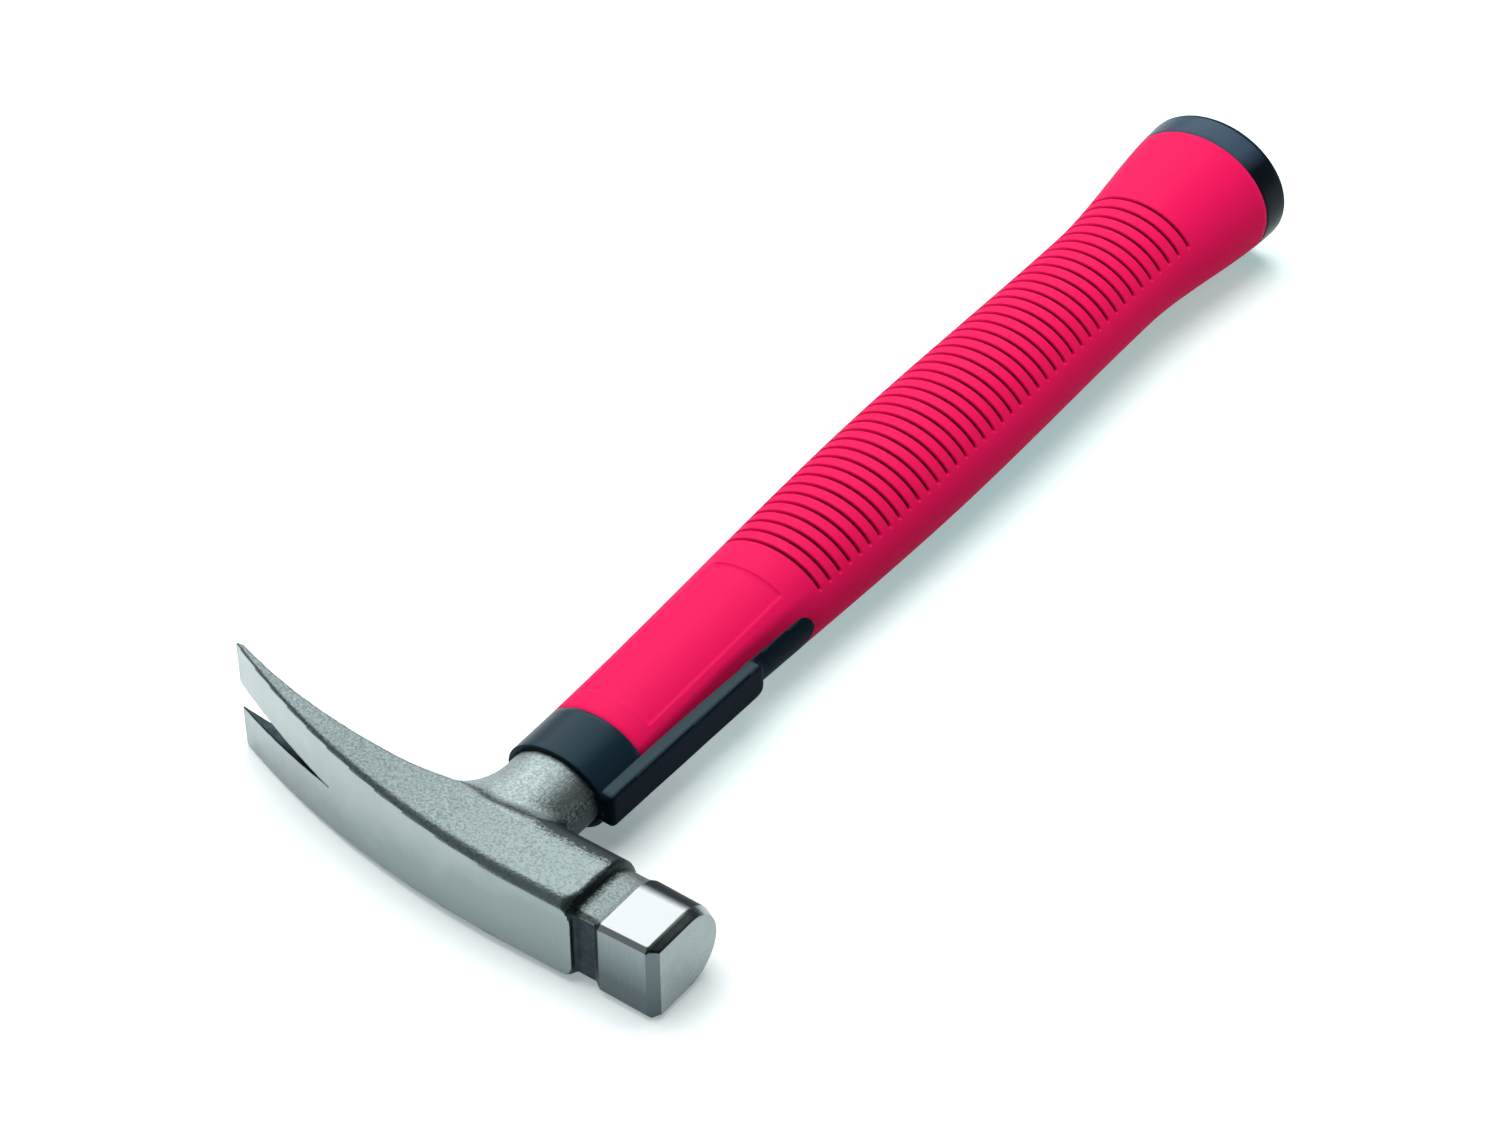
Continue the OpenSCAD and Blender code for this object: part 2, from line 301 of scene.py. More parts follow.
def grid_steps(low, high, step):
    """Evenly spaced values from below low to above high, with one of them at zero."""
    return step * np.arange(math.floor(low / step) - 1, math.ceil(high / step) + 2)


def make_piece(name, points, faces, node, materials, choice=None):
    """A smooth mesh from points in millimetres that stands for one node of the frame."""
    mesh = bpy.data.meshes.new(name)
    mesh.from_pydata((points * MM + ORIGIN).tolist(), [], [list(map(int, f)) for f in faces])
    mesh.polygons.foreach_set("use_smooth", np.ones(len(mesh.polygons), dtype=bool))
    for material in materials:
        mesh.materials.append(material)
    if choice is not None:
        mesh.polygons.foreach_set("material_index", choice.astype(np.int32))
    mesh.update()
    piece = bpy.data.objects.new(name, mesh)
    bpy.context.collection.objects.link(piece)
    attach(piece, "root")
    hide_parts(node)


# Shape of the head
def claw_share(x):
    return clamp01((CROWN_FLAT - x) / (CROWN_FLAT + CLAW_REACH))


def crown_sag(x):
    """Half chord of the crown's arc at x, measured from its straight stretch."""
    return np.minimum(np.maximum(0, CROWN_FLAT - x), ARC_MOST * CROWN_R)


def crown_y(x):
    return CROWN_R - np.sqrt(CROWN_R**2 - crown_sag(x)**2) - CROWN_DROP


def crown_half(x):
    return mix(CROWN_W, CLAW_W, claw_share(x)**CLAW_SPREAD) / 2


def crown_edge(x):
    return mix(EDGE_C, TIP_C, claw_share(x))


def claw_y(x):
    """The inside of the claw."""
    share = clamp01((x + CLAW_REACH) / (CLAW_REACH - ROOT_X))
    return crown_y(x) + mix(TIP_T, ROOT_T, share**CLAW_SWELL)


def slot_half(x):
    return SLOT_W / 2 * (1 - (x + CLAW_REACH) / SLOT_L)


def crown_field(x, y):
    """The outer side of claw and body."""
    return (crown_y(x) - y) * np.sqrt(1 - (crown_sag(x) / CROWN_R)**2)


def cheek_field(x, y, z):
    """The broad sides of claw and body, with the rounded band along the crown."""
    edge = crown_edge(x)
    band = clamp01(1 - (y - crown_y(x)) / (BAND_STRETCH * edge))
    step = PAD_STEP * clamp01((y + PAD_DROP) / HEAD_STEP) * clamp01(x / ROOT_X)
    return (z - crown_half(x) - edge + edge * band**2 + step) / np.hypot(1, 2 * band / BAND_STRETCH)


def inner_field(x, y, z):
    """The side towards the handle: the inside of the claw, then the body's own rounded side."""
    past_neck = clamp01((x + ROOT_X) / (2 * ROOT_X))
    body_round = (SIDE_DROP - BODY_DROP) / (1 - math.sqrt(1 - 1 / SIDE_SPREAD**2))
    claw_round = mix(min(CLAW_ROUND, TIP_T / 2), CLAW_ROUND, clamp01((x + CLAW_REACH) / CLAW_REACH))
    swell = mix(claw_round, body_round, past_neck)
    spread = SIDE_SPREAD * (crown_half(x) + crown_edge(x))
    across = np.minimum(z / spread, SIDE_MOST)
    fall = np.sqrt(1 - across**2)
    side_y = mix(claw_y(x), -BODY_DROP, past_neck) - swell * (1 - fall)
    side = (y - side_y) / np.hypot(1, swell * across / fall / spread)
    rise = mix(SLOT_BEVEL, CHEEK_BEVEL, (z / crown_half(x))**2)
    bevel = (y - crown_y(x) - TIP_EDGE - rise * (x + CLAW_REACH)) / np.hypot(1, rise)
    return np.maximum(side, bevel)


def neck_fillet(x, z):
    """Radius of the fillet round the neck, wide towards the claw and tight at the cheeks."""
    towards = x / np.maximum(np.hypot(x, z), 1e-6)
    to_claw = (CLAW_FILLET - CHEEK_FILLET) * np.maximum(0, -towards)**2
    to_face = (FACE_FILLET - CHEEK_FILLET) * np.maximum(0, towards)**2
    return CHEEK_FILLET + to_claw + to_face


def body_field(x, y, z):
    """Claw, body and neck."""
    neck = oval_field(x, z, NECK_W / 2, NECK_T / 2)
    body = rounded_min(inner_field(x, y, z), neck, neck_fillet(x, z))
    body = rounded_max(body, cheek_field(x, y, z), mix(CHEEK_ROUND, SIDE_ROUND, clamp01(x / ROOT_X)))
    wall = (x - CROWN_END + WALL_LEAN * np.maximum(0, z - WALL_FOOT)) / math.hypot(1, WALL_LEAN)
    wall_round = mix(CROWN_CORNER, WALL_ROUND, clamp01((y - crown_y(x)) / CROWN_CORNER - 1))
    body = rounded_max(body, wall, wall_round)
    body = rounded_max(body, crown_field(x, y), CROWN_ROUND)
    body = np.maximum(body, np.maximum(-CLAW_REACH - x, y - NECK_END))
    slot = (slot_half(x) - z) / math.hypot(1, SLOT_W / 2 / SLOT_L)
    return rounded_max(body, slot, SLOT_ROUND)


def block_field(x, y, z):
    """Striking block with its chamfers, and the throat that leads into the body."""
    half = BLOCK_W / 2
    throat = THROAT_D * clamp01((BLOCK_START - x) / THROAT_RAMP)
    from_face = clamp01((FACE_REACH - x) / BLOCK_L)
    round_y = BLOCK_OUTER + BLOCK_H - half + BACK_FALL * from_face
    sides = np.hypot(z, np.maximum(0, y - round_y)) - half + BLOCK_LEAN * from_face
    outer = BLOCK_OUTER - y
    long_edge = (sides + outer + BLOCK_C) / math.sqrt(2)
    cheeks = sides + THROAT_CHEEK * throat
    section = np.maximum(rounded_max(cheeks, outer + throat, THROAT_ROUND), long_edge + throat)
    past_face = x - FACE_REACH
    outer_edge = (outer + past_face + FACE_C) / math.sqrt(2)
    cheek_edge = (CHEEK_RUN * (sides + CHEEK_C) + CHEEK_C * past_face) / math.hypot(CHEEK_RUN, CHEEK_C)
    ends = np.maximum(past_face, CROWN_END - 2 * THROAT_L - x)
    return np.maximum(np.maximum(section, ends), np.maximum(outer_edge, cheek_edge))


def head_field(points):
    x, y, z = points[..., 0], points[..., 1], np.abs(points[..., 2])
    head = rounded_min(body_field(x, y, z), block_field(x, y, z), THROAT_FILLET)
    socket = np.maximum(np.hypot(x, z) - SOCKET_D / 2, NECK_END - SOCKET_L - y)
    return np.maximum(head, -socket)


# How near a surface a face belongs to it, how far past an edge it still does, how far before the crown's
# end its finish stops, and how far back from there the wall over the throat reaches
ON_SURFACE = 0.06
PAST_EDGE = 0.1
CROWN_SHORT = 0.2
WALL_BACK = 1.0
# Finishes of the head, in the order of its materials
BLASTED, CAST, THROAT, GROUND, SCALE_AND_SHADE, POLISHED, BRUSHED, FACE, OUTER_EDGE, CHEEK_EDGE = range(10)


def head_finish(points, faces):
    """The finish of each face of the head."""
    x, y, z = np.moveaxis(points[faces].mean(axis=1), -1, 0)
    low_corner = (z < 0) & (y - crown_y(x) < CROWN_CORNER)
    z = np.abs(z)
    block = x > BLOCK_START
    outer_edge = np.abs(BLOCK_OUTER - y + x - FACE_REACH + FACE_C) < 1.5 * ON_SURFACE
    round_edge = (x > FACE_REACH - CHEEK_RUN) & (y > BLOCK_OUTER + BLOCK_H - BLOCK_W / 4)
    slot = z < slot_half(x) + ON_SURFACE
    outer_throat = (x > CROWN_END - CROWN_SHORT) & (y < BLOCK_OUTER + THROAT_D + PAST_EDGE)
    crown = (y - crown_y(x) < ON_SURFACE) & (x < CROWN_END - CROWN_SHORT)
    wall = x > CROWN_END - WALL_BACK
    throat = wall & (block_field(x, y, z) < body_field(x, y, z))
    neck = (y > -PAD_DROP) & ((cheek_field(x, y, z) < -PAST_EDGE) | (x > 0))
    rules = [
        (block & outer_edge, OUTER_EDGE),
        (block & (y < BLOCK_OUTER + ON_SURFACE), BRUSHED),
        (block & ((x > FACE_REACH - ON_SURFACE) | round_edge), FACE),
        (block & (x > FACE_REACH - CHEEK_RUN + PAST_EDGE), CHEEK_EDGE),
        (block, POLISHED),
        # Dark scale on the outer side of the throat, and painted shade on the walls of the slot
        (slot | outer_throat, SCALE_AND_SHADE),
        (crown, GROUND),
        # Painted shade on the lower band between crown and cheek
        (low_corner, SCALE_AND_SHADE),
        (throat, THROAT),
        (wall | neck, CAST),
    ]
    return np.select([rule for rule, finish in rules], [finish for rule, finish in rules], BLASTED)


def make_head():
    reach = CROWN_DROP + NECK_END
    x, depth, z = np.meshgrid(
        grid_steps(-CLAW_REACH, FACE_REACH, HEAD_STEP),
        grid_steps(0, reach, HEAD_STEP) - HEAD_STEP / 2,
        grid_steps(-CLAW_W / 2 - TIP_C, CLAW_W / 2 + TIP_C, HEAD_STEP),
        indexing="ij",
    )
    grid = np.stack([x, depth + crown_y(x), z], axis=-1)
    points, faces = mesh_field(head_field, grid, HEAD_STEP)
    steels = [
        blasted_steel(), neck_steel(), throat_steel(), ground_steel(), scale_and_shade_steel(),
        polished_steel(), brushed_steel(), face_steel(), outer_edge_steel(), cheek_edge_steel(),
    ]
    make_piece("head", points, faces, "hammer_head", steels, head_finish(points, faces))


# Shape of the handle
def half_size(y):
    """Half width and half thickness of the handle at each y."""
    y = np.asarray(y, float)[..., None]
    front = mix(COLLAR, BELLY, ease((y + COLLAR_L) / (BELLY_Y + COLLAR_L)))
    middle = mix(front, WAIST, ease((y - BELLY_Y) / (FLARE_Y - BELLY_Y)))
    return mix(middle, BUTT, ease((y - FLARE_Y) / (BUTT_END - FLARE_Y))) / 2


RING = 2 * math.pi * np.arange(RING_N) / RING_N


def plain_ring(y, half_w, half_t):
    return np.stack([half_w * np.cos(RING), y + 0 * RING, half_t * np.sin(RING)], axis=-1)


def oval_ring(y, inset=0.0):
    """Ring across the handle, drawn in by an inset that may change round the ring."""
    half_w, half_t = half_size(y)
    return plain_ring(y, half_w - inset, half_t - inset)


def rounded_rim(y, r, forward):
    """Rings round an edge of radius r, from the end of the piece to its outside."""
    turns = np.radians(np.arange(0, 91, ROUND_STEP))
    side = 1 if forward else -1
    return [oval_ring(y + side * r * (1 - math.sin(t)), r * (1 - math.cos(t))) for t in turns[::-1]]


def loft(rings, closed):
    """Quads over rings of equal length. A closed loft joins the last ring to the first one,
    any other gets a flat face at each end."""
    n = len(rings)
    here = np.arange(n if closed else n - 1)[:, None] * RING_N + np.arange(RING_N)
    round_on = np.roll(here, -1, axis=1)
    ahead = (here + RING_N) % (n * RING_N)
    ahead_on = (round_on + RING_N) % (n * RING_N)
    faces = np.stack([here, ahead, ahead_on, round_on], axis=-1).reshape(-1, 4).tolist()
    if not closed:
        faces.append(list(range(RING_N)))
        faces.append(list(range(n * RING_N - 1, (n - 1) * RING_N - 1, -1)))
    return np.concatenate(rings), faces


def groove_depth(y, grooves, half):
    """Depth of the grooves at y round the ring, with round ends."""
    fold = np.arcsin(np.abs(np.sin(RING)))
    arc = np.hypot(half[0] * np.sin(RING), half[1] * np.cos(RING))
    past_end = np.maximum(0, GROOVE_FROM - fold) * arc
    nearest = np.min(np.abs(grooves - y))
    away = np.hypot(past_end, nearest) / (GROOVE_W / 2)
    return GROOVE_D * np.sqrt(np.maximum(0, 1 - away**2))


def panel_depth(y):
    """Depth of the flat panel on each broad side of the grip."""
    across = np.abs(half_size(y)[0] * np.cos(RING))
    margin = np.minimum(PANEL_W / 2 - across, np.minimum(y - PANEL_START, PANEL_END - y))
    return PANEL_D * ease(margin / PANEL_EDGE)


def grip_stops(grooves):
    """Places of the rings along the grip, close together across the grooves."""
    half = GROOVE_W / 2 * GROOVE_STOPS
    across = np.concatenate([-half[::-1], [0], half])
    fine = (grooves[:, None] + across).ravel()
    rim = np.arange(-1, 4) * PANEL_EDGE / 3
    fine = np.concatenate([fine, PANEL_START + rim, PANEL_END - rim])
    coarse = np.linspace(SEAM_ROUND, GRIP_L - SEAM_ROUND, GRIP_RINGS)
    clear = np.abs(coarse[:, None] - fine).min(axis=1) > GROOVE_W / 4
    return np.sort(np.concatenate([fine, coarse[clear]]))


def make_grip():
    count = np.arange(GROOVE_MOST)
    grooves = GROOVE_Y + count * GROOVE_PITCH + count * (count - 1) / 2 * GROOVE_GROWTH
    grooves = grooves[grooves <= GRIP_L - GROOVE_CLEAR]
    stops = grip_stops(grooves)
    cuts = [groove_depth(y, grooves, half_size(y)) for y in stops]
    rings = [oval_ring(0, SEAM_ROUND)]
    rings += [oval_ring(y, cut + panel_depth(y)) for y, cut in zip(stops, cuts)]
    rings += [oval_ring(GRIP_L, SEAM_ROUND)]
    rings += [oval_ring(y, GRIP_T) for y in np.linspace(GRIP_L, 0, INNER_RINGS)]
    points, faces = loft(rings, closed=True)
    depth = np.zeros((len(rings), RING_N))
    depth[1:len(cuts) + 1] = cuts
    deep = depth.ravel()[faces].mean(axis=1) > GROOVE_D / 2
    reds = [red_plastic(), groove_plastic()]
    make_piece("grip", points, faces, "grip_sleeve", reds, deep)


def make_jacket(black):
    core_end = GRIP_L - CORE_GAP
    neck = (NECK_W / 2 + FIT, NECK_T / 2 + FIT)
    rings = [plain_ring(core_end, CORE_D / 2, CORE_D / 2), plain_ring(NECK_END, CORE_D / 2, CORE_D / 2)]
    rings += [plain_ring(NECK_END, *neck), plain_ring(-COLLAR_L, *neck)]
    rings += rounded_rim(-COLLAR_L, COLLAR_ROUND, forward=True)
    collar = np.linspace(COLLAR_ROUND - COLLAR_L, -SEAM_ROUND, COLLAR_RINGS)[1:]
    rings += [oval_ring(y) for y in collar]
    rings += [oval_ring(0, SEAM_ROUND)]
    rings += [oval_ring(y, GRIP_T) for y in np.linspace(0, GRIP_L, INNER_RINGS)]
    rings += [oval_ring(GRIP_L, CAP_WALL), oval_ring(GRIP_L + SPIGOT_L, CAP_WALL)]
    points, faces = loft(rings, closed=False)
    make_piece("collar_and_jacket", points, faces, "handle_jacket", [black])


def make_cap(slate, black):
    """The cap, slate on its side and black on its rear edge and end; the black on the rounded rear edge
    is a painted dark reflection.
    """
    socket = CAP_WALL - FIT
    rings = [oval_ring(GRIP_L + SPIGOT_L + FIT, socket), oval_ring(GRIP_L, socket)]
    rings += [oval_ring(GRIP_L, SEAM_ROUND)]
    side = np.linspace(GRIP_L + SEAM_ROUND, BUTT_END - CAP_ROUND, CAP_RINGS)[:-1]
    rings += [oval_ring(y) for y in side]
    rings += rounded_rim(BUTT_END, CAP_ROUND, forward=False)[::-1]
    points, faces = loft(rings, closed=False)
    along = points[:, 1]
    rear = np.array([along[list(face)].mean() > BUTT_END - CAP_ROUND for face in faces])
    make_piece("butt_cap_shell", points, faces, "butt_cap", [slate, black], rear)


# Shape of the overstrike guard
def guard_field(points):
    x, y, z = points[..., 0], points[..., 1], np.abs(points[..., 2])
    half = half_size(y)
    handle = oval_field(x, z, half[..., 0], half[..., 1])
    front = half_size(-COLLAR_L)[0] + GUARD_FRONT
    rear = half_size(GUARD_L)[0] + GUARD_REAR
    slope = (rear - front) / (GUARD_L + COLLAR_L)
    outer = (x - front - slope * (y + COLLAR_L)) / math.hypot(1, slope)
    plan = rounded_max(outer, y - GUARD_L, GUARD_R)
    side = rounded_max(z - GUARD_W / 2, y - GUARD_L, GUARD_END_R)
    rail = rounded_max(rounded_max(plan, side, GUARD_ROUND), -COLLAR_L - y, GUARD_NOSE)
    round_y = TONGUE_END - TONGUE_W / 2
    tongue = np.hypot(np.maximum(0, y - round_y), z) - TONGUE_W / 2
    tongue = rounded_max(tongue, handle - TONGUE_RISE, TONGUE_ROUND)
    tongue = np.maximum(tongue, GUARD_L - 2 * GUARD_R - y)
    return np.maximum(rounded_min(rail, tongue, TONGUE_FILLET), -GUARD_SEAT - handle)


def make_guard(soft_black, lit_flank_black):
    low_x = half_size(-COLLAR_L)[0] / 2
    high_x = half_size(GUARD_L)[0] + GUARD_REAR
    x, y, z = np.meshgrid(
        grid_steps(low_x, high_x, GUARD_STEP),
        grid_steps(-COLLAR_L, TONGUE_END, GUARD_STEP),
        grid_steps(-GUARD_W / 2, GUARD_W / 2, GUARD_STEP) + GUARD_STEP / 2,
        indexing="ij",
    )
    points, faces = mesh_field(guard_field, np.stack([x, y, z], axis=-1), GUARD_STEP)
    # The flanks get a lighter copy of the black, painted light as if lit from above
    flank = np.abs(points[faces].mean(axis=1)[:, 2]) > GUARD_W / 2 - GUARD_FLANK
    blacks = [soft_black, lit_flank_black]
    make_piece("guard", points, faces, "overstrike_guard", blacks, flank)


# Materials. Most values of a noise lie in the noise range.
NOISE_LOW = 0.3
NOISE_HIGH = 0.7
# Cool tint of cast steel, and of the painted shade on it
CAST_TINT = np.array([0.93, 1.07, 1.07])
PAINTED_SHADE_TINT = np.array([0.13, 0.15, 0.16])
# Shine of red plastic, and the cool tint of the shine on black plastic
RED_GLOSS = 0.05
BLACK_TINT = (0.55, 0.85, 1.0)


def start_material(name, colour, roughness, metallic=0.0):
    """A new material, its node tree and its shader."""
    material = bpy.data.materials.new(name)
    material.use_nodes = True
    shader = material.node_tree.nodes["Principled BSDF"]
    shader.inputs["Base Color"].default_value = (*colour, 1)
    shader.inputs["Metallic"].default_value = metallic
    shader.inputs["Roughness"].default_value = roughness
    return material, material.node_tree, shader


def start_steel(name, colour, roughness):
    return start_material(name, colour, roughness, metallic=1.0)


def add_noise(tree, size, stretch=(1, 1, 1), detail=3.0):
    """Noise with features of a size in millimetres, longer along axes with a large stretch."""
    coords = tree.nodes.new("ShaderNodeTexCoord")
    mapping = tree.nodes.new("ShaderNodeMapping")
    mapping.inputs["Scale"].default_value = [1 / (size * MM * s) for s in stretch]
    noise = tree.nodes.new("ShaderNodeTexNoise")
    noise.inputs["Scale"].default_value = 1.0
    noise.inputs["Detail"].default_value = detail
    tree.links.new(coords.outputs["Object"], mapping.inputs["Vector"])
    tree.links.new(mapping.outputs["Vector"], noise.inputs["Vector"])
    return noise.outputs["Fac"]


def add_gradient(tree, start, end, top=1.0):
    """A factor from 0 at one point to top at another, both in millimetres about the handle axis."""
    way = np.subtract(end, start) * MM
    coords = tree.nodes.new("ShaderNodeTexCoord")
    offset = tree.nodes.new("ShaderNodeVectorMath")
    offset.operation = "SUBTRACT"
    offset.inputs[1].default_value = np.array(start) * MM + ORIGIN
    along = tree.nodes.new("ShaderNodeVectorMath")
    along.operation = "DOT_PRODUCT"
    along.inputs[1].default_value = top * way / way.dot(way)
    clamp = tree.nodes.new("ShaderNodeClamp")
    clamp.inputs["Max"].default_value = top
    tree.links.new(coords.outputs["Object"], offset.inputs[0])
    tree.links.new(offset.outputs["Vector"], along.inputs[0])
    tree.links.new(along.outputs["Value"], clamp.inputs["Value"])
    return clamp.outputs["Result"]


def add_product(tree, first, second):
    product = tree.nodes.new("ShaderNodeMath")
    product.operation = "MULTIPLY"
    tree.links.new(first, product.inputs[0])
    tree.links.new(second, product.inputs[1])
    return product.outputs["Value"]


def add_share(tree, factor, other, amount):
    """A factor plus some of another one, such as noise that makes its edges ragged."""
    share = tree.nodes.new("ShaderNodeMath")
    share.operation = "MULTIPLY_ADD"
    share.inputs[1].default_value = amount
    tree.links.new(other, share.inputs[0])
    tree.links.new(factor, share.inputs[2])
    return share.outputs["Value"]


def blend_range(tree, factor, first, second, target):
    """Sets a socket to go from one value to another across the noise range."""
    ramp = tree.nodes.new("ShaderNodeMapRange")
    ramp.inputs["From Min"].default_value = NOISE_LOW
    ramp.inputs["From Max"].default_value = NOISE_HIGH
    ramp.inputs["To Min"].default_value = first
    ramp.inputs["To Max"].default_value = second
    tree.links.new(factor, ramp.inputs["Value"])
    tree.links.new(ramp.outputs["Result"], target)


def add_ramp(tree, factor, stops, target):
    """Sets a socket to the colours that stand at some values of a factor, blended in between."""
    node = tree.nodes.new("ShaderNodeValToRGB")
    ramp = node.color_ramp
    places = sorted(stops)
    ramp.elements[0].position, ramp.elements[1].position = places[0], places[-1]
    for place in places[1:-1]:
        ramp.elements.new(place)
    for element, place in zip(ramp.elements, places):
        element.color = (*stops[place], 1)
    tree.links.new(factor, node.inputs["Fac"])
    tree.links.new(node.outputs["Color"], target)


def blend_colours(tree, factor, first, second, target):
    """Sets a socket to go from one colour to another across the noise range."""
    add_ramp(tree, factor, {NOISE_LOW: first, NOISE_HIGH: second}, target)


def add_bump(tree, shader, height, depth, strength):
    """Roughens a surface by a height that is depth millimetres at its most."""
    bump = tree.nodes.new("ShaderNodeBump")
    bump.inputs["Strength"].default_value = strength
    bump.inputs["Distance"].default_value = depth * MM
    tree.links.new(height, bump.inputs["Height"])
    tree.links.new(bump.outputs["Normal"], shader.inputs["Normal"])


def blasted_steel():
    material, tree, shader = start_steel("blasted_steel", (0.17, 0.2, 0.2), roughness=0.4)
    grain = add_noise(tree, size=0.55, detail=4.0)
    # Painted light: the cheeks grow lighter towards the face and darker towards the claw, for light that
    # falls off along the head
    shade = add_share(tree, grain, add_gradient(tree, (-30, 0, 0), (20, 0, 0)), amount=0.16)
    blend_colours(tree, shade, (0.093, 0.113, 0.113), (0.186, 0.22, 0.22), shader.inputs["Base Color"])
    blend_range(tree, grain, 0.44, 0.32, shader.inputs["Roughness"])
    add_bump(tree, shader, grain, depth=0.17, strength=0.7)
    return material


def cast_steel(name, shade, cover):
    """Duller than the blasted faces, with painted shade where its cover grows from 0 to 1."""
    colour = shade * CAST_TINT
    material, tree, shader = start_steel(name, colour, roughness=0.4)
    grain = add_noise(tree, size=0.45, detail=2.0)
    mottle = add_noise(tree, size=0.6, detail=2.0)
    ragged = add_share(tree, cover(tree), mottle, amount=1.0)
    light, dark = 1.35 * colour, 0.75 * colour
    stops = {NOISE_LOW: light, NOISE_HIGH: dark, 1.0: colour * PAINTED_SHADE_TINT}
    add_ramp(tree, ragged, stops, shader.inputs["Base Color"])
    blend_range(tree, grain, 0.56, 0.44, shader.inputs["Roughness"])
    add_bump(tree, shader, grain, depth=0.15, strength=0.7)
    return material


def neck_painted_shade(tree):
    """Painted shade: dark on the right of neck and body, and half dark in the crease round the neck's
    foot.
    """
    past_neck = add_gradient(tree, (9, 0, 0), (12.5, 0, 0))
    under_pad = add_gradient(tree, (0, 0, 11), (0, 0, 9.4))
    over_neck = add_gradient(tree, (0, 0, 8.3), (0, 0, 9.6))
    in_fillet = add_gradient(tree, (0, 0, 11.0), (0, 0, 10.2))
    right = add_product(tree, past_neck, under_pad)
    return add_share(tree, right, add_product(tree, over_neck, in_fillet), amount=0.45)


def neck_steel():
    return cast_steel("neck_steel", shade=0.3, cover=neck_painted_shade)


# Painted shade that darkens the throat towards the wall at the crown's end
def throat_painted_shade(tree):
    return add_gradient(tree, (CROWN_END + 2.2, 0, 0), (CROWN_END - 1.2, 0, 0))


def throat_steel():
    return cast_steel("throat_steel", shade=0.2, cover=throat_painted_shade)


def ground_steel():
    """Brightest at the upper tip of the claw, and darker towards the block and downwards: painted shade,
    for the shadowed floor that the crown mirrors.
    """
    material, tree, shader = start_steel("ground_steel", (0.33, 0.39, 0.39), roughness=0.35)
    haze = add_noise(tree, size=6.0, detail=5.0)
    from_tip = add_gradient(tree, (-85, 0, 0), (25, 0, 0), top=0.5)
    down = add_gradient(tree, (0, 0, 8), (0, 0, -12))
    shade = add_share(tree, add_share(tree, from_tip, down, amount=0.35), haze, amount=0.2)
    stops = {
        0.15: (0.465, 0.515, 0.515),
        0.48: (0.345, 0.395, 0.395),
        0.62: (0.262, 0.312, 0.312),
        0.87: (0.235, 0.283, 0.283),
    }
    add_ramp(tree, shade, stops, shader.inputs["Base Color"])
    lines = add_noise(tree, size=0.25, stretch=(1, 1, 40), detail=2.0)
    blend_range(tree, lines, 0.3, 0.4, shader.inputs["Roughness"])
    add_bump(tree, shader, lines, depth=0.02, strength=0.3)
    return material


# Dark scale, also laid on the slot's walls and the crown's lower band as painted shade
def scale_and_shade_steel():
    material, tree, shader = start_steel("scale_and_shade_steel", (0.03, 0.04, 0.05), roughness=0.4)
    clouds = add_noise(tree, size=1.5, detail=4.0)
    dark, light = (0.014, 0.026, 0.032), (0.028, 0.043, 0.051)
    blend_colours(tree, clouds, dark, light, shader.inputs["Base Color"])
    blend_range(tree, clouds, 0.45, 0.35, shader.inputs["Roughness"])
    add_bump(tree, shader, clouds, depth=0.03, strength=0.3)
    return material


def polished_steel():
    """Bright on the cheeks, and painted dark on the round side towards the handle, as shade from the
    shadowed floor that it mirrors there.
    """
    material, tree, shader = start_steel("polished_steel", (0.34, 0.39, 0.39), roughness=0.2)
    lines = add_noise(tree, size=0.2, stretch=(1, 50, 1), detail=2.0)
    round_y = BLOCK_OUTER + BLOCK_H - BLOCK_W / 2
    to_handle = add_gradient(tree, (0, round_y, 0), (0, round_y + 6, 0))
    ragged = add_share(tree, to_handle, lines, amount=0.1)
    blend_colours(tree, ragged, (0.308, 0.312, 0.32), (0.02, 0.03, 0.034), shader.inputs["Base Color"])
    blend_range(tree, ragged, 0.2, 0.5, shader.inputs["Roughness"])
    add_bump(tree, shader, lines, depth=0.015, strength=0.3)
    return material


def brushed_steel():
    """The outer side of the block, darker downwards as painted shade, for the floor's contact shadow that
    it mirrors.
    """
    material, tree, shader = start_steel("brushed_steel", (0.2, 0.25, 0.26), roughness=0.3)
    lines = add_noise(tree, size=0.3, stretch=(1, 1, 30), detail=3.0)
    down = add_gradient(tree, (0, 0, 16), (0, 0, -16))
    ragged = add_share(tree, down, lines, amount=0.15)
    blend_colours(tree, ragged, (0.23, 0.28, 0.29), (0.095, 0.122, 0.13), shader.inputs["Base Color"])
    blend_range(tree, lines, 0.28, 0.36, shader.inputs["Roughness"])
    add_bump(tree, shader, lines, depth=0.008, strength=0.3)
    return material


def face_steel():
    material, tree, shader = start_steel("face_steel", (0.29, 0.34, 0.34), roughness=0.3)
    haze = add_noise(tree, size=4.0, detail=4.0)
    blend_colours(tree, haze, (0.265, 0.315, 0.315), (0.295, 0.345, 0.345), shader.inputs["Base Color"])
    lines = add_noise(tree, size=0.25, stretch=(1, 40, 1), detail=2.0)
    blend_range(tree, lines, 0.25, 0.31, shader.inputs["Roughness"])
    add_bump(tree, shader, lines, depth=0.006, strength=0.3)
    return material


def edge_steel(name, dark, light, from_dark, to_light):
    """Chamfers of the block, dark at one point, in millimetres, and light at another: painted shade and
    light, for the dark and bright surroundings that they mirror.
    """
    material, tree, shader = start_steel(name, light, roughness=0.3)
    clouds = add_noise(tree, size=2.0, detail=4.0)
    ragged = add_share(tree, add_gradient(tree, from_dark, to_light), clouds, amount=0.3)
    add_ramp(tree, ragged, {0.1: dark, 1.0: light}, shader.inputs["Base Color"])
    blend_range(tree, clouds, 0.28, 0.38, shader.inputs["Roughness"])
    add_bump(tree, shader, clouds, depth=0.02, strength=0.3)
    return material


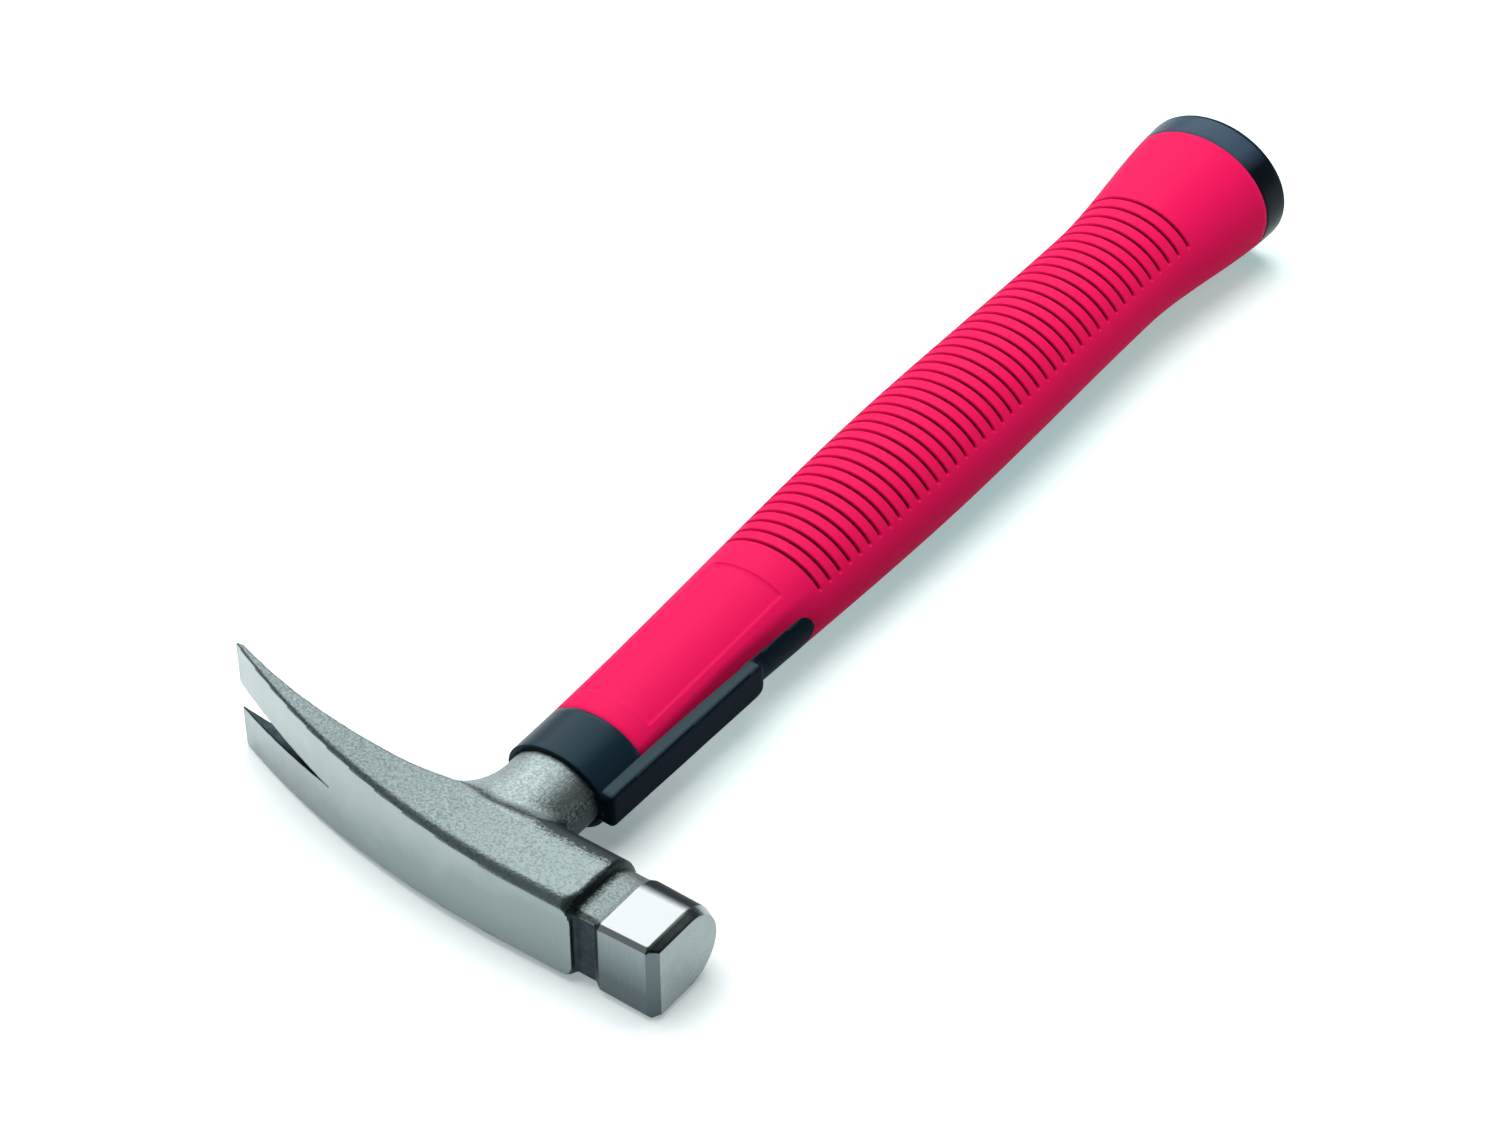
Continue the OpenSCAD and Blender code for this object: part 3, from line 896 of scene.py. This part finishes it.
def outer_edge_steel():
    half = BLOCK_W / 2
    # Painted shade that darkens the outer chamfer downwards
    ends = (0, 0, -half), (0, 0, half)
    return edge_steel("outer_edge", (0.08, 0.1, 0.11), (0.125, 0.155, 0.163), *ends)


def cheek_edge_steel():
    # Painted shade that darkens the cheek chamfer towards the outer side
    ends = (0, BLOCK_OUTER, 0), (0, BLOCK_OUTER + BLOCK_W * 0.75, 0)
    return edge_steel("cheek_edge", (0.02, 0.03, 0.032), (0.13, 0.155, 0.155), *ends)


def red_plastic():
    """Bright red, with painted shade in the corner beside the guard."""
    material, tree, shader = start_material("red_plastic", (0.85, 0.007, 0.104), roughness=0.6)
    shader.inputs["Specular IOR Level"].default_value = RED_GLOSS
    haze = add_noise(tree, size=20.0, detail=3.0)
    to_guard = add_gradient(tree, (9.6, 0, 0), (12.4, 0, 0))
    along_guard = add_gradient(tree, (0, 75, 0), (0, 30, 0))
    corner = add_share(tree, add_product(tree, to_guard, along_guard), haze, amount=0.06)
    blend_colours(tree, corner, (0.9, 0.008, 0.112), (0.44, 0.0038, 0.053), shader.inputs["Base Color"])
    grain = add_noise(tree, size=0.35, detail=2.0)
    blend_range(tree, grain, 0.55, 0.65, shader.inputs["Roughness"])
    add_bump(tree, shader, grain, depth=0.02, strength=0.3)
    return material


def groove_plastic():
    """The floor of the grooves, painted dark as the shade inside them, and darker towards the right as
    painted shade.
    """
    material, tree, shader = start_material("groove_red", (0.32, 0.0021, 0.036), roughness=0.7)
    shader.inputs["Specular IOR Level"].default_value = RED_GLOSS
    haze = add_noise(tree, size=3.0, detail=3.0)
    to_right = add_share(tree, add_gradient(tree, (-14, 0, 0), (14, 0, 0)), haze, amount=0.2)
    blend_colours(tree, to_right, (0.7, 0.005, 0.08), (0.22, 0.0015, 0.026), shader.inputs["Base Color"])
    return material


def black_plastic(name, colour, gloss, roughness, right=1.0):
    """Dark plastic with painted shade: a little lighter on the left, and on the object's right the share
    right of its colour left.
    """
    material, tree, shader = start_material(name, colour, roughness)
    shader.inputs["Specular IOR Level"].default_value = gloss
    shader.inputs["Specular Tint"].default_value = (*BLACK_TINT, 1)
    haze = add_noise(tree, size=12.0, detail=3.0)
    to_right = add_share(tree, add_gradient(tree, (7, 0, 0), (19, 0, 0)), haze, amount=0.2)
    pale, dark = 1.1 * np.array(colour), 0.9 * right * np.array(colour)
    blend_colours(tree, to_right, pale, dark, shader.inputs["Base Color"])
    grain = add_noise(tree, size=0.3, detail=2.0)
    blend_range(tree, grain, roughness - 0.05, roughness + 0.05, shader.inputs["Roughness"])
    add_bump(tree, shader, grain, depth=0.015, strength=0.3)
    return material


def glass_fibre():
    material, tree, shader = start_material("fibre_core", (0.8, 0.75, 0.55), roughness=0.45)
    strands = add_noise(tree, size=0.4, stretch=(1, 60, 1), detail=2.0)
    blend_colours(tree, strands, (0.7, 0.64, 0.42), (0.86, 0.82, 0.64), shader.inputs["Base Color"])
    add_bump(tree, shader, strands, depth=0.02, strength=0.4)
    return material


def cured_resin():
    material, tree, shader = start_material("cured_resin", (0.6, 0.5, 0.3), roughness=0.3)
    clouds = add_noise(tree, size=3.0, detail=3.0)
    blend_colours(tree, clouds, (0.52, 0.42, 0.24), (0.66, 0.56, 0.36), shader.inputs["Base Color"])
    return material


def dress_node(node, material):
    """Gives a node of the frame that keeps its shape a material with detail."""
    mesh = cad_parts[node].data
    mesh.materials.clear()
    mesh.materials.append(material)


# Stage
def resting_plane():
    """The three points that the hammer lies on: butt cap, lower claw tip and lower cheek."""
    cap_y = BUTT_END - CAP_ROUND
    cap = (0, cap_y, -half_size(cap_y)[1])
    claw = (-CLAW_REACH, crown_y(-CLAW_REACH) + TIP_T / 2, -CLAW_W / 2 - TIP_C)
    cheek = (CROWN_END - CROWN_CORNER, BAND_STRETCH * EDGE_C - CROWN_DROP, -CROWN_W / 2 - EDGE_C)
    return [Vector(np.array(p) * MM + ORIGIN) for p in (cap, claw, cheek)]


# Floor: half its length, its colour to the eye and to the light that it throws back, and the cool glow
# that lifts its shadows, by the distance in metres from the butt cap
FLOOR_HALF = 6.0
FLOOR_WHITE = (0.95, 0.95, 0.95)
FLOOR_BOUNCE = (0.25, 0.25, 0.25)
FLOOR_GLOW = {
    0.04: (0.22, 0.35, 0.34),
    0.1: (0.19, 0.38, 0.38),
    0.225: (0.31, 0.43, 0.425),
    0.265: (0.16, 0.19, 0.2),
    0.3: (0.3, 0.34, 0.345),
    0.43: (0.25, 0.29, 0.295),
    1.35: (1.0, 1.0, 1.0),
}


def floor_material():
    material, tree, shader = start_material("studio_floor", FLOOR_WHITE, roughness=0.9)
    shader.inputs["Specular IOR Level"].default_value = 0.0
    coords = tree.nodes.new("ShaderNodeTexCoord")
    distance = tree.nodes.new("ShaderNodeVectorMath")
    distance.operation = "LENGTH"
    tree.links.new(coords.outputs["Object"], distance.inputs[0])
    share = tree.nodes.new("ShaderNodeMapRange")
    share.inputs["From Max"].default_value = max(FLOOR_GLOW)
    tree.links.new(distance.outputs["Value"], share.inputs["Value"])
    stops = {away / max(FLOOR_GLOW): colour for away, colour in FLOOR_GLOW.items()}
    add_ramp(tree, share.outputs["Result"], stops, shader.inputs["Emission Color"])
    path = tree.nodes.new("ShaderNodeLightPath")
    seen = path.outputs["Is Camera Ray"]
    for kind in ("Is Glossy Ray", "Is Transmission Ray"):
        either = tree.nodes.new("ShaderNodeMath")
        either.operation = "MAXIMUM"
        tree.links.new(seen, either.inputs[0])
        tree.links.new(path.outputs[kind], either.inputs[1])
        seen = either.outputs["Value"]
    tree.links.new(seen, shader.inputs["Emission Strength"])
    colour = tree.nodes.new("ShaderNodeMixRGB")
    colour.inputs["Color1"].default_value = (*FLOOR_BOUNCE, 1)
    colour.inputs["Color2"].default_value = (*FLOOR_WHITE, 1)
    tree.links.new(seen, colour.inputs["Fac"])
    tree.links.new(colour.outputs["Color"], shader.inputs["Base Color"])
    return material


def make_floor():
    cap, claw, cheek = resting_plane()
    up = (claw - cap).cross(cheek - cap).normalized()
    along = Vector((1, 0, 0)).cross(up).normalized()
    across = up.cross(along)
    corners = [FLOOR_HALF * (a * across + b * along) for a, b in ((-1, -1), (-1, 1), (1, 1), (1, -1))]
    mesh = bpy.data.meshes.new("floor")
    mesh.from_pydata(corners, [], [(0, 1, 2, 3)])
    mesh.materials.append(floor_material())
    floor = bpy.data.objects.new("floor", mesh)
    floor.location = cap
    bpy.context.collection.objects.link(floor)


# Camera, fitted to the photograph, about the handle axis in millimetres and degrees
CAMERA_AZIMUTH = 36.625
CAMERA_ELEVATION = 41.382
CAMERA_ROLL = -0.73
CAMERA_DISTANCE = 1010.6
CAMERA_TARGET = (-8.872, 66.929, 0.0)
CAMERA_LENS = 109.457
SENSOR_WIDTH = 36.0


def make_camera():
    turn, lift = math.radians(CAMERA_AZIMUTH), math.radians(CAMERA_ELEVATION)
    back = Vector((math.sin(turn) * math.cos(lift), -math.cos(turn) * math.cos(lift), math.sin(lift)))
    right = Vector((math.cos(turn), math.sin(turn), 0))
    up = back.cross(right)
    roll = math.radians(CAMERA_ROLL)
    right, up = right * math.cos(roll) + up * math.sin(roll), up * math.cos(roll) - right * math.sin(roll)
    data = bpy.data.cameras.new("camera")
    data.sensor_fit = "HORIZONTAL"
    data.sensor_width = SENSOR_WIDTH
    data.lens = CAMERA_LENS
    camera = bpy.data.objects.new("camera", data)
    place = Vector(np.array(CAMERA_TARGET) * MM + ORIGIN) + back * CAMERA_DISTANCE * MM
    camera.matrix_world = Matrix.Translation(place) @ Matrix((right, up, back)).transposed().to_4x4()
    bpy.context.collection.objects.link(camera)
    bpy.context.scene.camera = camera


# Studio: grey wall on the left, dark wall on the right and a pale rim under both, with the heights in
# degrees between which the rim turns to wall
LEFT_WALL = (0.37, 0.43, 0.44)
RIGHT_WALL = (0.03, 0.036, 0.04)
RIM_LIGHT = (0.8, 0.84, 0.84)
RIM_TOP = 2
WALL_FROM = 10
# How far to the side a direction points, from -1 to 1, where the left wall ends and the right one begins
LEFT_END = -0.5
RIGHT_START = 0.1
# Colour of the panel that the metal mirrors
MIRROR_COLOUR = (0.97, 1.0, 1.0)


def make_lamp(name, direction, distance, size, power):
    """A square white lamp that faces the middle of the hammer from a direction, in metres and watts."""
    data = bpy.data.lights.new(name, "AREA")
    data.shape = "SQUARE"
    data.size = size
    data.energy = power
    lamp = bpy.data.objects.new(name, data)
    towards = Vector(direction).normalized()
    lamp.location = Vector(np.array(CAMERA_TARGET) * MM + ORIGIN) + towards * distance
    lamp.rotation_euler = towards.to_track_quat("Z", "Y").to_euler()
    bpy.context.collection.objects.link(lamp)
    return lamp


def make_lights():
    """A soft key light overhead and a small fill beside the butt, for the plastics and the floor,
    and a panel that the metal mirrors."""
    key = make_lamp("key_light", (-0.24, 0.12, 0.96), distance=1.4, size=1.5, power=24)
    key.visible_glossy = False
    fill = make_lamp("butt_fill", (0.73, 0.6, 0.32), distance=0.37, size=0.15, power=0.25)
    fill.visible_glossy = False
    panel = make_lamp("mirror_panel", (-0.46, 0.49, 0.74), distance=1.6, size=1.8, power=27)
    panel.data.color = MIRROR_COLOUR
    panel.visible_diffuse = False


def make_world():
    world = bpy.data.worlds.new("studio")
    world.use_nodes = True
    tree = world.node_tree
    coords = tree.nodes.new("ShaderNodeTexCoord")
    split = tree.nodes.new("ShaderNodeSeparateXYZ")
    tree.links.new(coords.outputs["Generated"], split.inputs["Vector"])
    across = tree.nodes.new("ShaderNodeMapRange")
    across.inputs["From Min"].default_value = LEFT_END
    across.inputs["From Max"].default_value = RIGHT_START
    tree.links.new(split.outputs["X"], across.inputs["Value"])
    walls = tree.nodes.new("ShaderNodeValToRGB")
    walls.color_ramp.elements[0].color = (*LEFT_WALL, 1)
    walls.color_ramp.elements[1].color = (*RIGHT_WALL, 1)
    tree.links.new(across.outputs["Result"], walls.inputs["Fac"])
    rise = tree.nodes.new("ShaderNodeMapRange")
    rise.inputs["From Min"].default_value = math.sin(math.radians(RIM_TOP))
    rise.inputs["From Max"].default_value = math.sin(math.radians(WALL_FROM))
    tree.links.new(split.outputs["Z"], rise.inputs["Value"])
    blend = tree.nodes.new("ShaderNodeMixRGB")
    blend.inputs["Color1"].default_value = (*RIM_LIGHT, 1)
    tree.links.new(rise.outputs["Result"], blend.inputs["Fac"])
    tree.links.new(walls.outputs["Color"], blend.inputs["Color2"])
    tree.links.new(blend.outputs["Color"], tree.nodes["Background"].inputs["Color"])
    bpy.context.scene.world = world


# Black plastics, each with painted shade towards its right. The guard's sides and the cap's rear edge get
# a darker, duller copy as painted shade and dark reflection, the guard's flanks a lighter copy as painted
# light from above, and the cap's slate side deep painted shade on its right
matt_black = black_plastic("matt_black", (0.007, 0.0185, 0.03), gloss=0.14, roughness=0.33)
soft_black = black_plastic("soft_black", (0.005, 0.012, 0.024), gloss=0.02, roughness=0.5)
lit_flank_black = black_plastic("lit_flank_black", (0.022, 0.038, 0.048), gloss=0.16, roughness=0.4)
slate_black = black_plastic("slate_black", (0.042, 0.068, 0.104), gloss=0.06, roughness=0.3, right=0.12)
make_head()
make_jacket(matt_black)
make_grip()
make_cap(slate_black, soft_black)
make_guard(soft_black, lit_flank_black)
dress_node("handle_core", glass_fibre())
dress_node("bonding_resin", cured_resin())
make_floor()
make_camera()
make_world()
make_lights()
bpy.context.scene.view_settings.view_transform = "Standard"
